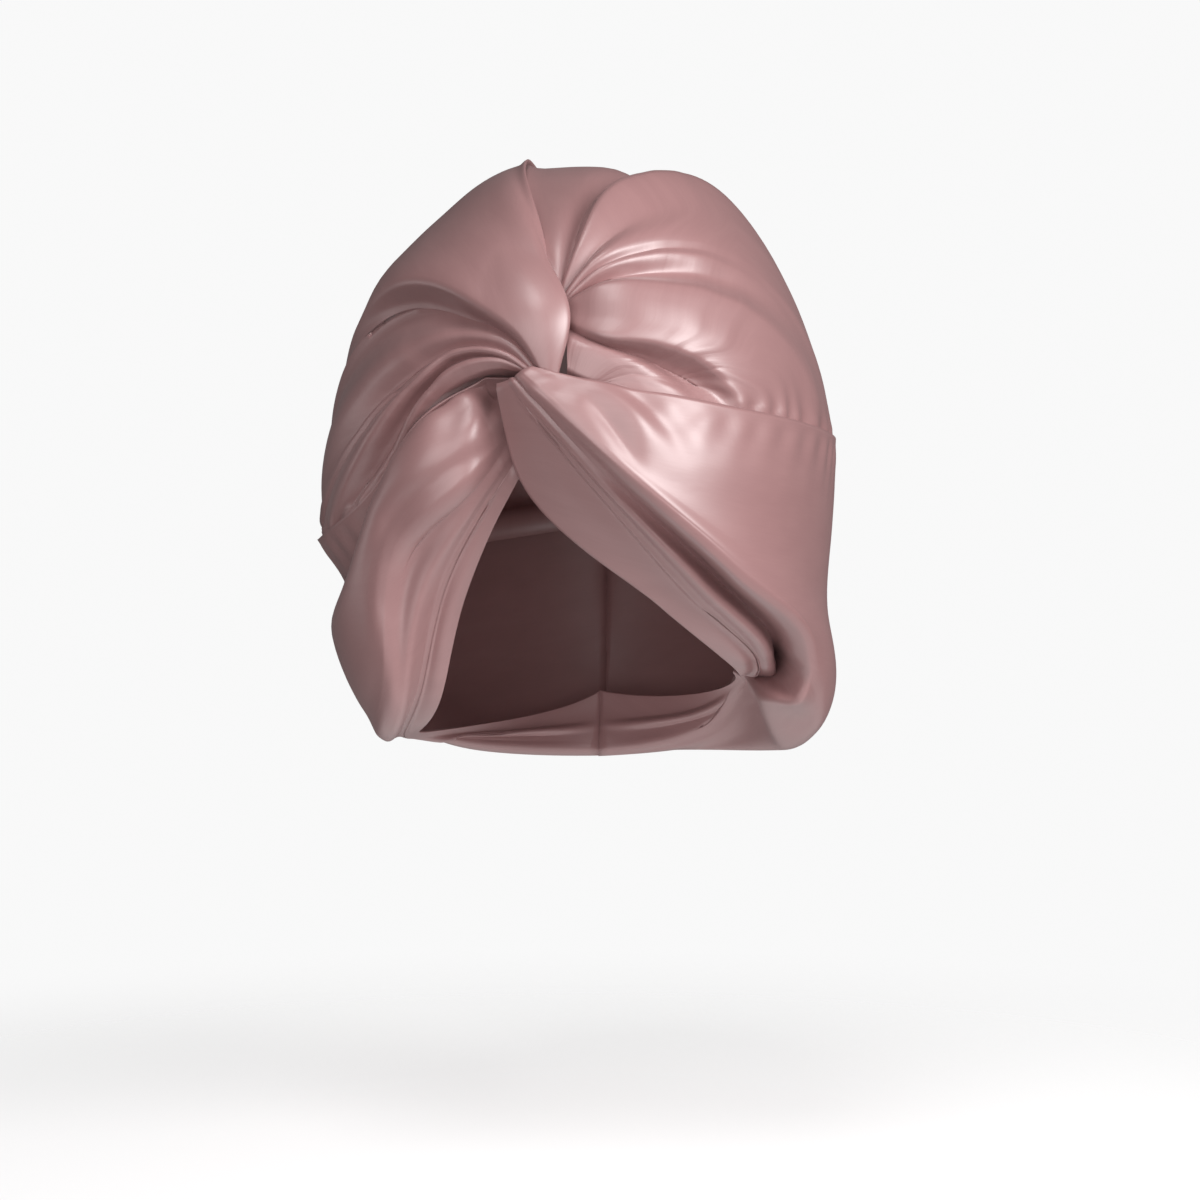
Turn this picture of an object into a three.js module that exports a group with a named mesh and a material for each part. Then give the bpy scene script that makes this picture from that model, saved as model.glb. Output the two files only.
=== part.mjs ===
// Twist-front turban bonnet in satin silk, held in the form it takes when worn.
// Millimetres, +Z up, the twist faces -Y. The origin lies on the bonnet's axis at the hat-size line.
import * as THREE from 'three';

// The rounded form the cloth follows: half width, half depth, height above and below the widest line.
const HALF_WIDTH = 102;
const HALF_DEPTH = 120;
const DOME_HEIGHT = 128;
const WIDEST_LINE = 27;
// Below the widest line the form narrows only slowly; a smaller power keeps it fuller.
const LOWER_FULLNESS = 0.28;

// Cloth and its joins: wall, half the gap along the centre seams, and how far a crown tucks in
// under its band (degrees down, millimetres in).
const WALL = 1.2;
const CROWN_HALF_GAP = 0.35;
const BAND_HALF_GAP = 0.6;
const TUCK_DOWN = 1.1;
const TUCK_IN = 3;

// How finely each piece is faceted: steps between two stations of a fold, and strips between two folds.
const STEPS_BETWEEN_STATIONS = 5;
const STRIPS_BETWEEN_FOLDS = 2;

// Tables give places on the form as [turn, rise, lift]: degrees around from the front (right is plus),
// degrees up from the widest line, and millimetres out from the form. Crease 0 is a round fold, 1 is sharp.
const rowsOf = (columns, rows) =>
  rows.map((row) => Object.fromEntries(columns.map((column, i) => [column, row[i]])));

// Right crown half: a fan of pleats from the twist to the band.
// 'meets' is the turn where a fold reaches the band.
const RIGHT_CROWN_FOLDS = rowsOf(['fold', 'crease', 'knot', 'brow', 'front', 'side', 'meets'], [
  ['centre seam', 0, [-0.5, 31.5, -2.5], [-7.5, 40.5, -2], [-25, 62.5, -2], [-160, 62, -1], 180],
  ['flat panel', 0, [0.5, 31.2, -2], [1, 40, 0.3], [4.5, 61.5, -2.5], [155, 62, -3], 166],
  ['first tuck', 0.5, [0.8, 30.9, -2.5], [4, 39.7, -2.5], [12, 53.6, -2], [48, 65, 1], 145],
  ['first crest', 0.6, [1, 30.5, -2], [5.3, 39, 4.5], [14.3, 52.2, 7], [55, 61, 6.5], 132],
  ['shoulder', 0, [1.2, 30, -2], [11, 39, 3.5], [27, 47, 5], [65, 49, 3], 116],
  ['second crest', 0.4, [1.4, 29.5, -1.5], [9, 34.7, 6], [22, 39, 6.5], [55, 39.5, 2], 103],
  ['second furrow', 0.3, [1.5, 29.3, -2.5], [9.6, 33.9, 3.8], [22.8, 37.8, 4.8], [54, 38, 1.8], 100],
  ['second twin', 0.4, [1.55, 29.1, -1.8], [10, 33.3, 5.2], [23.3, 36.9, 5.8], [53, 36, 1.8], 98],
  ['second hollow', 0, [1.6, 28.9, -2.5], [10.5, 32.3, 1], [24, 34.4, 1.5], [52, 32.5, 1], 95],
  ['third crest', 0.3, [1.8, 28.4, -1.5], [10.5, 30.2, 6], [24, 30.2, 8], [50, 25.5, 6], 79],
  ['third hollow', 0, [2, 27.5, -2], [10.5, 27.8, 6], [24, 26.8, 8.8], [47, 21.8, 6], 66],
  ['big fold', 0, [2.2, 26.5, -1.5], [11.5, 24.2, 6], [25, 22.6, 8.8], [44, 16.8, 6], 55],
  ['big fold lip', 0.5, [2.4, 25.4, -1.5], [10, 21.3, 6], [22.5, 19.7, 8], [35, 15.6, 6], 43.5],
  ['pocket', 0.5, [2.6, 24.3, -2], [10.2, 20.8, -1.5], [20.5, 18.8, -4], [30, 15.3, -4], 36.5],
  ['small pleat', 0, [2.8, 23.2, -1], [9.5, 20, 2.5], [16.5, 17.6, 3], [23.5, 14.4, 2.5], 30],
  ['flap fold', 0.4, [3, 21.8, 1], [8, 19.5, 3.2], [12.5, 17.3, 3.5], [17, 14.8, 2.5], 21.5],
  ['flap edge', 0, [3.3, 16.3, 0.5], [5.5, 15.2, 1], [8, 14.3, 1], [10.5, 13.8, 0.5], 13],
]);

// Left crown half: it loops over the right half at the twist, then spreads in pleats to the left.
const LEFT_CROWN_FOLDS = rowsOf(['fold', 'crease', 'knot', 'loop', 'brow', 'front', 'side', 'meets'], [
  ['rolled edge', 0, [-1.5, 14.5, -1], [-1.5, 23.5, 1.5], [-5.5, 40.5, 0.6], [-21, 62.5, 0.3],
    [-160, 62, 0.3], -180],
  ['loop', 0, [0.5, 14.2, 1], [3.2, 24.5, 6], [-4, 37.5, 4.5], [-25, 59, 2], [-130, 62, -0.5], -168],
  ['smooth panel', 0, [-0.3, 14.2, 2], [-1, 22.5, 9], [-14, 38.5, 5.5], [-44, 51, 0], [-105, 44, -3],
    -145],
  ['panel lip', 0.6, [-1, 14.2, 2], [-6, 20.3, 8], [-17, 26.3, 9], [-35, 31.7, 7.5], [-75, 24, 0], -114],
  ['under the lip', 0.5, [-1.8, 14.5, 0], [-8, 21, 0.5], [-20.5, 26.5, -4.5], [-39, 30.5, -5.5],
    [-75, 19, -3], -106],
  ['second panel', 0, [-2.5, 14.8, 1], [-9, 19.8, 4], [-22.5, 21.8, 4], [-38, 17.8, 2.5], [-66, 4, 3],
    -97],
  ['second crease', 0.7, [-3.2, 15.1, 0], [-9.7, 18.9, 0.5], [-23, 19.9, -1.5], [-35, 15, -2],
    [-54, 3.5, 0.5], -81],
  ['third pleat', 0.2, [-3.9, 15.4, 1.5], [-10.2, 18.4, 4.3], [-22, 18.8, 5], [-31.5, 13.7, 5],
    [-47, 2, 4.2], -67],
  ['third crease', 0.7, [-4.6, 15.7, 0], [-11.2, 18.1, -1], [-23.5, 18.1, -3.5], [-32.3, 12.7, -5],
    [-42, 2.5, -5], -55],
  ['fourth pleat', 0, [-5.3, 16, 1], [-11.5, 17.5, 3], [-21.5, 16.2, 3], [-29, 11.6, 2], [-38, 3, -1.5],
    -48],
  ['lower edge', 0, [-6, 16.2, 0], [-12, 16.8, 0.8], [-21.5, 14.9, -0.5], [-29, 10.8, -2],
    [-38, 2.4, -2.5], -45],
]);

// Right band: from the crown seam down over the main fold, into a rolled crease and the facing at the face.
// At its lower corner the main fold hooks round a hollow.
const RIGHT_BAND_FOLDS = rowsOf([
  'fold', 'crease', 'knot', 'brow', 'temple', 'cheek', 'corner', 'hook', 'curl', 'side',
], [
  ['seam edge', 0, [-4, 15.8, 5.5], [5, 14, 6.5], [31, 10.5, 6.5], [69, 7.5, 2.5], [84, 6.5, 1.9],
    [93, 6, 1.6], [100, 5.6, 1.5], [108, 5.3, 1.5]],
  ['wavy panel', 0, [-4.7, 15.4, 6.5], [7.5, 8.7, 10], [31.5, 3.5, 9.5], [67, -1.5, 2.5],
    [82, -3.3, 0.9], [91, -4.2, 0.2], [98, -5, 0], [106, -5.7, 0]],
  ['lower panel', 0, [-5.3, 15.1, 7], [9.3, 4, 12], [33, -9.7, 11], [66, -20, 3.5], [80, -24, 1.5],
    [90, -26.5, 0], [97, -28, -1], [106, -30, -2]],
  ['pouch', 0, [-5.8, 14.8, 7.2], [9.7, 3, 12.3], [34, -12.7, 13], [65, -27, 8.5], [78, -35, 9],
    [89, -43, 9], [96, -51, 6.5], [106, -57, 3]],
  ['under pouch', 0, [-6, 14.7, 7.1], [9.8, 2.6, 12.3], [34.5, -13.5, 13], [64.5, -29.5, 9.5],
    [73, -38, 9], [84, -50, 7.5], [90, -58, 4], [104, -64, 0]],
  ['pouch valley', 0, [-6.3, 14.5, 7], [10, 2.2, 12.2], [35, -14.3, 13], [64, -30.8, 9.5],
    [70, -38.5, 7.5], [76, -47, 3], [76, -53, -6], [100, -61, -8]],
  ['main fold', 0.4, [-6.8, 14.3, 6.5], [10, 1.5, 11], [35.5, -16, 12], [62.5, -32, 8],
    [66.3, -37.5, 6.5], [66.5, -43, 4], [67, -47, -5], [100, -57, -16]],
  ['deep crease', 0.6, [-7.3, 14.1, 5], [9.7, 0.5, 2], [37, -18, -9], [67, -33.5, -13], [80, -39.5, -19],
    [88, -45, -24], [90, -49, -27], [100, -53, -26]],
  ['roll', 0, [-8, 13.9, 5.5], [7, 0.5, 3], [32.5, -20, 0], [58, -35.5, -6], [66, -41, -10],
    [74, -45, -14], [80, -49, -21], [95, -53, -23]],
  ['roll crease', 0.6, [-9, 13.7, 4], [4, 2.5, -3], [33, -22.5, -9], [60, -38.5, -13], [68, -43.5, -16],
    [74.5, -47.5, -20], [80, -50.5, -25], [94, -54, -25]],
  ['facing', 0, [-10.2, 13.5, 3], [-2, 1, -8], [31.5, -23.7, -12], [58, -41, -14], [66, -45.5, -18],
    [73, -49, -22], [79, -51.5, -26], [93, -55, -26.5]],
  ['opening edge', 0, [-12, 13.5, 1], [-9, -2, -16], [27.5, -28, -17.5], [56, -43.5, -17.5],
    [65, -48, -20], [72, -50.5, -24], [78, -52.5, -28], [92, -56, -28]],
]);

// Left band: it comes out from behind the twist, drapes over its own seam and turns in at the face.
const LEFT_BAND_FOLDS = rowsOf(['fold', 'crease', 'knot', 'brow', 'temple', 'cheek', 'side'], [
  ['seam edge', 0, [-17, 16.5, -7], [-29.5, 9, 0.5], [-42.5, -3, 2.8], [-66, -10.5, 5], [-100, -10, 4.5]],
  ['under the drape', 0.3, [-17.3, 16, -9.5], [-30.5, 7, -2.5], [-42.5, -6.5, -1], [-61, -18, -4],
    [-98, -20, -4]],
  ['drape crest', 0, [-17.6, 15.4, -11], [-28, 7.5, 4], [-38, -4, 8.5], [-48, -20, 11], [-94, -34, -6]],
  ['drape belly', 0, [-17.6, 14.4, -12.5], [-23, 3, 7.5], [-36, -7.8, 11.5], [-46, -28, 10.5],
    [-92, -44, -7]],
  ['knot hollow', 0, [-16, 13, -16], [-19.5, 2.6, 4], [-35, -9, 11], [-43.5, -32.5, 9.5], [-90, -52, -8]],
  ['second hump', 0, [-13.6, 11, -15], [-18.7, 1, 2.2], [-34, -10, 9.5], [-42, -35.5, 8.5],
    [-90, -56, -9]],
  ['drape lip', 0.4, [-12.6, 6.5, -16], [-18, -0.7, -0.5], [-33, -11, 6.5], [-40.8, -38, 7.8],
    [-90, -59, -9.5]],
  ['recess', 0.2, [-12.3, 4.5, -16.5], [-19, -2.4, -7], [-32, -12.6, 0], [-40, -40.5, 6.2],
    [-90, -62, -10]],
  ['inner ridge', 0.2, [-12, 2.7, -17], [-19, -6.5, -9], [-29.5, -18.5, -2.5], [-39.7, -43.5, 3.5],
    [-90, -64.5, -10.5]],
  ['inner crease', 0.6, [-11.6, 0.8, -18.5], [-20, -8.2, -14.5], [-30, -21.5, -13], [-44.5, -47, -11],
    [-90, -66.5, -11.5]],
  ['facing', 0, [-11, -0.7, -19], [-19, -10.5, -17.3], [-28.5, -26, -15.5], [-43.5, -52, -14.2],
    [-90, -68.3, -13]],
  ['opening edge', 0, [-10.3, -2, -20], [-18, -12, -20], [-28, -27.5, -19.2], [-42.5, -54, -16.5],
    [-90, -69, -15]],
]);

// Both bands end alike at the centre back: down the outside, round the bottom and up inside as a hem.
const NAPE_HEM = rowsOf(['rise', 'lift'], [
  [-1, 2], [-28, 2], [-58, 1], [-74, -1], [-76, -7], [-69, -13], [-58, -18.5],
]);

const RIGHT_CROWN_STATIONS = ['knot', 'brow', 'front', 'side'];
const LEFT_CROWN_STATIONS = ['knot', 'loop', 'brow', 'front', 'side'];
const RIGHT_BAND_STATIONS = ['knot', 'brow', 'temple', 'cheek', 'corner', 'hook', 'curl', 'side'];
const LEFT_BAND_STATIONS = ['knot', 'brow', 'temple', 'cheek', 'side'];

// One place of a table as its direction from the form's middle, with the lift kept beside it.
function aim([turn, rise, lift]) {
  const around = THREE.MathUtils.degToRad(turn);
  const up = THREE.MathUtils.degToRad(rise);
  return [Math.cos(up) * Math.sin(around), -Math.cos(up) * Math.cos(around), Math.sin(up), lift];
}

// The point of the form in a direction, moved out by the lift.
function onForm([x, y, z, lift]) {
  const length = Math.hypot(x, y, z);
  const level = Math.hypot(x, y) / length;
  const reach = z < 0 ? level ** LOWER_FULLNESS : level;
  const flat = Math.max(Math.hypot(x, y), 1e-9);
  return [
    ((HALF_WIDTH + lift) * reach * x) / flat,
    ((HALF_DEPTH + lift) * reach * y) / flat,
    WIDEST_LINE + ((DOME_HEIGHT + lift) * z) / length,
  ];
}

const apart = (p, q) => Math.hypot(...p.map((value, axis) => value - q[axis]));

// Distances along a run of points, used to space the curve through them.
function runLengths(points) {
  const lengths = [0];
  for (let i = 1; i < points.length; i++) {
    lengths.push(lengths[i - 1] + Math.max(apart(points[i], points[i - 1]), 1e-4));
  }
  return lengths;
}

// Direction of the curve at one of its points; a crease keeps the straight run on its own side.
function slopeAt(points, lengths, i, side, crease) {
  const run = (k) => {
    const span = lengths[k + 1] - lengths[k];
    return points[k + 1].map((value, axis) => (value - points[k][axis]) / span);
  };
  const last = points.length - 1;
  if (i === 0) return run(0);
  if (i === last) return run(last - 1);
  const before = run(i - 1);
  const after = run(i);
  const share = (lengths[i] - lengths[i - 1]) / (lengths[i + 1] - lengths[i - 1]);
  const ownSide = side === 'after' ? after : before;
  return before.map((value, axis) => {
    const round = value + (after[axis] - value) * share;
    return round + (ownSide[axis] - round) * crease;
  });
}

// A smooth curve through points, with the given number of steps between each two of them.
function curveThrough(points, lengths, steps, creases) {
  const curve = [points[0]];
  for (let i = 0; i < points.length - 1; i++) {
    const span = lengths[i + 1] - lengths[i];
    const leaving = slopeAt(points, lengths, i, 'after', creases[i]);
    const arriving = slopeAt(points, lengths, i + 1, 'before', creases[i + 1]);
    for (let step = 1; step <= steps; step++) {
      const t = step / steps;
      const fromStart = 2 * t ** 3 - 3 * t ** 2 + 1;
      const leave = (t ** 3 - 2 * t ** 2 + t) * span;
      const arrive = (t ** 3 - t ** 2) * span;
      curve.push(points[i].map((value, axis) => {
        const between = fromStart * value + (1 - fromStart) * points[i + 1][axis];
        return between + leave * leaving[axis] + arrive * arriving[axis];
      }));
    }
  }
  return curve;
}

// Where a fold of the crown meets the band: the band's seam edge at that turn, tucked down and in.
function underBand(seamEdge, turn) {
  const rows = [...seamEdge].sort((p, q) => p[0] - q[0]);
  const next = Math.max(1, rows.findIndex((row) => row[0] >= turn));
  const [from, to] = [rows[next - 1], rows[next]];
  const rise = THREE.MathUtils.mapLinear(turn, from[0], to[0], from[1], to[1]);
  const lift = THREE.MathUtils.mapLinear(turn, from[0], to[0], from[2], to[2]);
  return [turn, rise - TUCK_DOWN, lift - TUCK_IN];
}

// The places a band's folds run through, ending at the hem on the centre back.
function bandPlaces(folds, stations, back) {
  return folds.map((row, i) => {
    const along = (i / (folds.length - 1)) * (NAPE_HEM.length - 1);
    const from = NAPE_HEM[Math.floor(along)];
    const to = NAPE_HEM[Math.ceil(along)];
    const rise = THREE.MathUtils.lerp(from.rise, to.rise, along % 1);
    const lift = THREE.MathUtils.lerp(from.lift, to.lift, along % 1);
    return [...stations.map((station) => row[station]), [back, rise, lift]];
  });
}

// The places a crown half's folds run through, ending under its band.
function crownPlaces(folds, stations, seamEdge) {
  return folds.map((row) => [...stations.map((station) => row[station]), underBand(seamEdge, row.meets)]);
}

// Every fold as a line of points on the form, then the strips of cloth between the folds.
function clothSheet(foldPlaces, creases) {
  const lines = foldPlaces.map((places) => {
    const aims = places.map(aim);
    const smooth = aims.map(() => 0);
    return curveThrough(aims, runLengths(aims.map(onForm)), STEPS_BETWEEN_STATIONS, smooth).map(onForm);
  });
  return lines[0].map((_, i) => {
    const across = lines.map((line) => line[i]);
    return curveThrough(across, runLengths(across), STRIPS_BETWEEN_FOLDS, creases);
  });
}

// The sheet given its wall, closed round its edges.
function clothSolid(sheet, shift, facesOut) {
  const across = sheet[0].length;
  const count = sheet.length * across;
  const outer = new THREE.BufferGeometry();
  outer.setAttribute('position', new THREE.Float32BufferAttribute(sheet.flat(2), 3));
  const faces = [];
  const quad = (a, b, c, d) => (facesOut ? faces.push(a, b, c, a, c, d) : faces.push(a, c, b, a, d, c));
  for (let i = 0; i < sheet.length - 1; i++) {
    for (let j = 0; j < across - 1; j++) {
      const a = i * across + j;
      quad(a, a + 1, a + across + 1, a + across);
    }
  }
  outer.setIndex([...faces]);
  outer.computeVertexNormals();
  const place = outer.attributes.position;
  const normal = outer.attributes.normal;
  const points = [];
  for (const depth of [0, WALL]) {
    for (let i = 0; i < count; i++) {
      points.push(place.getX(i) - normal.getX(i) * depth + shift);
      points.push(place.getY(i) - normal.getY(i) * depth);
      points.push(place.getZ(i) - normal.getZ(i) * depth);
    }
  }
  const outside = faces.length;
  for (let k = 0; k < outside; k += 3) {
    faces.push(faces[k] + count, faces[k + 2] + count, faces[k + 1] + count);
  }
  const rim = [];
  for (let j = 0; j < across - 1; j++) rim.push(j);
  for (let i = 0; i < sheet.length - 1; i++) rim.push(i * across + across - 1);
  for (let j = across - 1; j > 0; j--) rim.push((sheet.length - 1) * across + j);
  for (let i = sheet.length - 1; i > 0; i--) rim.push(i * across);
  rim.forEach((from, k) => {
    const to = rim[(k + 1) % rim.length];
    quad(to, from, from + count, to + count);
  });
  const solid = new THREE.BufferGeometry();
  solid.setAttribute('position', new THREE.Float32BufferAttribute(points, 3));
  solid.setIndex(faces);
  solid.computeVertexNormals();
  return solid;
}

function clothPiece(name, colour, folds, foldPlaces, shift, facesOut) {
  const satin = new THREE.MeshStandardMaterial({ color: colour, roughness: 0.42, metalness: 0 });
  const sheet = clothSheet(foldPlaces, folds.map((row) => row.crease));
  const piece = new THREE.Mesh(clothSolid(sheet, shift, facesOut), satin);
  piece.name = name;
  return piece;
}

const rightBand = bandPlaces(RIGHT_BAND_FOLDS, RIGHT_BAND_STATIONS, 180);
const leftBand = bandPlaces(LEFT_BAND_FOLDS, LEFT_BAND_STATIONS, -180);
const rightCrown = crownPlaces(RIGHT_CROWN_FOLDS, RIGHT_CROWN_STATIONS, rightBand[0]);
const leftCrown = crownPlaces(LEFT_CROWN_FOLDS, LEFT_CROWN_STATIONS, leftBand[0]);

const bonnet = new THREE.Group();
bonnet.name = 'silk_bonnet';
bonnet.add(
  clothPiece('crown_right', 0xb08a88, RIGHT_CROWN_FOLDS, rightCrown, CROWN_HALF_GAP, false),
  clothPiece('crown_left', 0x9c787a, LEFT_CROWN_FOLDS, leftCrown, -CROWN_HALF_GAP, true),
  clothPiece('band_right', 0xb79290, RIGHT_BAND_FOLDS, rightBand, BAND_HALF_GAP, false),
  clothPiece('band_left', 0xa07c7c, LEFT_BAND_FOLDS, leftBand, -BAND_HALF_GAP, true),
);

export default bonnet;
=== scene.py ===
"""Twist-front turban bonnet in satin silk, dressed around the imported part, in the form it has when worn."""
import math

import bpy
import numpy as np
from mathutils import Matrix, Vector, noise


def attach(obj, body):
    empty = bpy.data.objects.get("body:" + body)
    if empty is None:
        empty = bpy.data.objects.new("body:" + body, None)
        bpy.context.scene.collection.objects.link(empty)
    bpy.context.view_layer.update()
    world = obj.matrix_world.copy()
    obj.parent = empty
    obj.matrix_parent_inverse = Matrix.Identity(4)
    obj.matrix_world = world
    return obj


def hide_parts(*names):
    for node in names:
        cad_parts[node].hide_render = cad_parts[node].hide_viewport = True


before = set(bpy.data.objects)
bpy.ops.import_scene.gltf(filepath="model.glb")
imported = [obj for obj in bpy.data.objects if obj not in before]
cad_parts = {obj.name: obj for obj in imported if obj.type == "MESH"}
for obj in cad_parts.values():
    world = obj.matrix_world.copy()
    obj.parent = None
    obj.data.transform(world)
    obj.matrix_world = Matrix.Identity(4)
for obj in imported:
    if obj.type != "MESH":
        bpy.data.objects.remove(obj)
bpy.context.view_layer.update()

# Right crown half
# One cut of satin silk, pleated into a fan at the twist over the brow. It is sewn to the left half along
# the centre seam and gathered along its lower edge into the seam of the right band.

MM = 0.001

# The rounded form that the cloth lies on, in millimetres from the head seat; the fullness is a power.
HALF_WIDTH = 102
HALF_DEPTH = 120
DOME_HEIGHT = 128
WIDEST_LINE = 27
LOWER_FULLNESS = 0.28

# Cloth and seams, in millimetres; the tuck down is in degrees.
CLOTH_WALL = 0.9
SEAM_TUCK_DOWN = 1.6
SEAM_TUCK_IN = 2
SEAM_FLAT = 2
SEAM_ROLL_WIDTH = 3
SEAM_ROLL_DEPTH = 1.6
GATHERED_FROM = 50
FURROW_FADE = 25
# The room that a furrow needs, in its own widths, and the uneven spacing of the gathers: how many
# spacings a change takes, and its size in radians.
FURROW_ROOM = 2.5
GATHER_CHANGE = 3
GATHER_DRIFT = 5
# Rows of a hidden strip behind an edge: shares of the way in and of the way down.
TURNED_UNDER = ((0.4, 0.03), (0.8, 0.15), (0.95, 0.4), (1, 1))

# Places are (turn, rise, lift): degrees round from the front, degrees up from the widest line, and
# millimetres out from the rounded form. Crease 0 is a round fold, 1 a sharp one.
RIGHT_SEAM = np.array((
    (-4, 15.8, 5.5), (5, 14, 6.5), (31, 10.5, 6.5), (69, 7.5, 2.5), (105, 5.5, 1.5), (180, -1, 2),
))
# Columns: crease, knot, brow, front, side, and the turn at which the fold meets the band.
RIGHT_CROWN_FOLDS = {
    "centre seam": (0, (-0.5, 31.5, -2.5), (-7.5, 40.5, -2), (-25, 62.5, -2), (-160, 62, -1), 180),
    "flat panel": (0, (0.5, 31.2, -2), (1, 40, 0.3), (4.5, 61.5, -2.5), (155, 62, -3), 166),
    "first tuck": (0.5, (0.8, 30.9, -2.5), (4, 39.7, -2.5), (12, 53.6, -2), (48, 65, 1), 145),
    "first crest": (0.6, (1, 30.5, -2), (5.3, 39, 4.5), (14.3, 52.2, 7), (55, 61, 6.5), 132),
    "shoulder": (0, (1.2, 30, -2), (11, 39, 3.5), (27, 47, 5), (65, 49, 3), 116),
    "second crest": (0.4, (1.4, 29.5, -1.5), (9, 34.7, 6), (22, 39, 6.5), (55, 39.5, 2), 103),
    "second furrow": (0.3, (1.5, 29.3, -2.5), (9.6, 33.9, 3.8), (22.8, 37.8, 4.8), (54, 38, 1.8), 100),
    "second twin": (0.4, (1.55, 29.1, -1.8), (10, 33.3, 5.2), (23.3, 36.9, 5.8), (53, 36, 1.8), 98),
    "second hollow": (0, (1.6, 28.9, -2.5), (10.5, 32.3, 1), (24, 34.4, 1.5), (52, 32.5, 1), 95),
    "third crest": (0.3, (1.8, 28.4, -1.5), (10.5, 30.2, 6), (24, 30.2, 8), (50, 25.5, 6), 79),
    "third hollow": (0, (2, 27.5, -2), (10.5, 27.8, 6), (24, 26.8, 8.8), (47, 21.8, 6), 66),
    "big fold": (0, (2.2, 26.5, -1.5), (11.5, 24.2, 6), (25, 22.6, 8.8), (44, 16.8, 6), 55),
    "big fold lip": (0.5, (2.4, 25.4, -1.5), (10, 21.3, 6), (22.5, 19.7, 8), (35, 15.6, 6), 43.5),
    "pocket": (0.5, (2.6, 24.3, -2), (10.2, 20.8, -1.5), (20.5, 18.8, -4), (30, 15.3, -4), 36.5),
    "small pleat": (0, (2.8, 23.2, -1), (9.5, 20, 2.5), (16.5, 17.6, 3), (23.5, 14.4, 2.5), 30),
    "flap fold": (0.4, (3, 21.8, 1), (8, 19.5, 3.2), (12.5, 17.3, 3.5), (17, 14.8, 2.5), 21.5),
    "flap edge": (0, (3.3, 16.3, 0.5), (5.5, 15.2, 1), (8, 14.3, 1), (10.5, 13.8, 0.5), 13),
}


def aims(places):
    """Directions from the form's middle to places, with each place's lift beside them."""
    turn, rise = np.radians(places[:, 0]), np.radians(places[:, 1])
    level = np.cos(rise)
    return np.column_stack((level * np.sin(turn), -level * np.cos(turn), np.sin(rise), places[:, 2]))


def on_form(aim):
    """Points of the rounded form in the given directions, moved out by their lifts, in millimetres."""
    x, y, z, lift = np.asarray(aim).T
    flat = np.maximum(np.hypot(x, y), 1e-9)
    length = np.sqrt(x * x + y * y + z * z)
    level = flat / length
    reach = np.where(z < 0, level ** LOWER_FULLNESS, level)
    return np.column_stack((
        (HALF_WIDTH + lift) * reach * x / flat,
        (HALF_DEPTH + lift) * reach * y / flat,
        WIDEST_LINE + (DOME_HEIGHT + lift) * z / length,
    ))


def run_lengths(points):
    """Distance along a run of points to each of them."""
    steps = np.linalg.norm(np.diff(points, axis=0), axis=1)
    return np.concatenate(([0], np.cumsum(np.maximum(steps, 1e-4))))


def curve_through(points, lengths, steps, creases):
    """A smooth curve through points; a crease keeps the straight run on each side of its point."""
    spans = np.diff(lengths)[:, None]
    runs = np.diff(points, axis=0) / spans
    before, after = np.vstack((runs[:1], runs)), np.vstack((runs, runs[-1:]))
    share = np.zeros((len(points), 1))
    share[1:-1] = spans[:-1] / (spans[:-1] + spans[1:])
    rounded = before + (after - before) * share
    crease = np.asarray(creases, float)[:, None]
    leaving = (rounded + (after - rounded) * crease)[:-1] * spans
    arriving = (rounded + (before - rounded) * crease)[1:] * spans
    curve = [points[:1]]
    for t in np.arange(1, steps + 1) / steps:
        start = 2 * t**3 - 3 * t**2 + 1
        curve.append(
            start * points[:-1] + (1 - start) * points[1:]
            + (t**3 - 2 * t**2 + t) * leaving + (t**3 - t**2) * arriving
        )
    inner = np.stack(curve[1:], axis=1).reshape(-1, points.shape[1])
    return np.vstack((curve[0], inner))


def under_band(seam, turn):
    """Where a fold of the crown goes in under its band's seam edge."""
    rows = seam[np.argsort(seam[:, 0])]
    rise, lift = (np.interp(turn, rows[:, 0], rows[:, k]) for k in (1, 2))
    return (turn, rise - SEAM_TUCK_DOWN, lift - SEAM_TUCK_IN)


def crown_places(folds, seam):
    """Each fold of a crown half as its places, from the twist to the band."""
    return [np.array([*row[1:-1], under_band(seam, row[-1])], float) for row in folds.values()]


def form_curve(places, steps):
    """A smooth curve on the form through places."""
    directions = aims(places)
    smooth = np.zeros(len(places))
    return on_form(curve_through(directions, run_lengths(on_form(directions)), steps, smooth))


def cloth_grid(folds, fold_places, steps, strips):
    """The sheet as a grid of points: along the folds first, then across from fold to fold."""
    creases = [row[0] for row in folds.values()]
    lines = np.array([form_curve(places, steps) for places in fold_places])
    across = [curve_through(line, run_lengths(line), strips, creases) for line in lines.swapaxes(0, 1)]
    return np.array(across)


def grid_normals(grid, outward):
    """Unit normals of a grid, pointing out of the bonnet."""
    normal = np.cross(np.gradient(grid, axis=1), np.gradient(grid, axis=0)) * outward
    return normal / np.maximum(np.linalg.norm(normal, axis=2, keepdims=True), 1e-9)


def grid_distances(grid):
    """Millimetres along the folds and across them at every point of a grid."""
    along = np.linalg.norm(np.diff(grid, axis=0), axis=2)
    across = np.linalg.norm(np.diff(grid, axis=1), axis=2)
    along = np.concatenate((np.zeros((1, grid.shape[1])), np.cumsum(along, axis=0)))
    across = np.concatenate((np.zeros((grid.shape[0], 1)), np.cumsum(across, axis=1)), axis=1)
    return along, across


def ripples(along, across, length, width, height, seed):
    """Soft uneven ripples of the cloth, long in the direction of the folds."""
    rows = zip((along / length).ravel(), (across / width).ravel())
    values = np.array([noise.noise(Vector((a, b, seed))) for a, b in rows]).reshape(along.shape)
    return height * values * np.clip(along / length, 0, 1)


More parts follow.
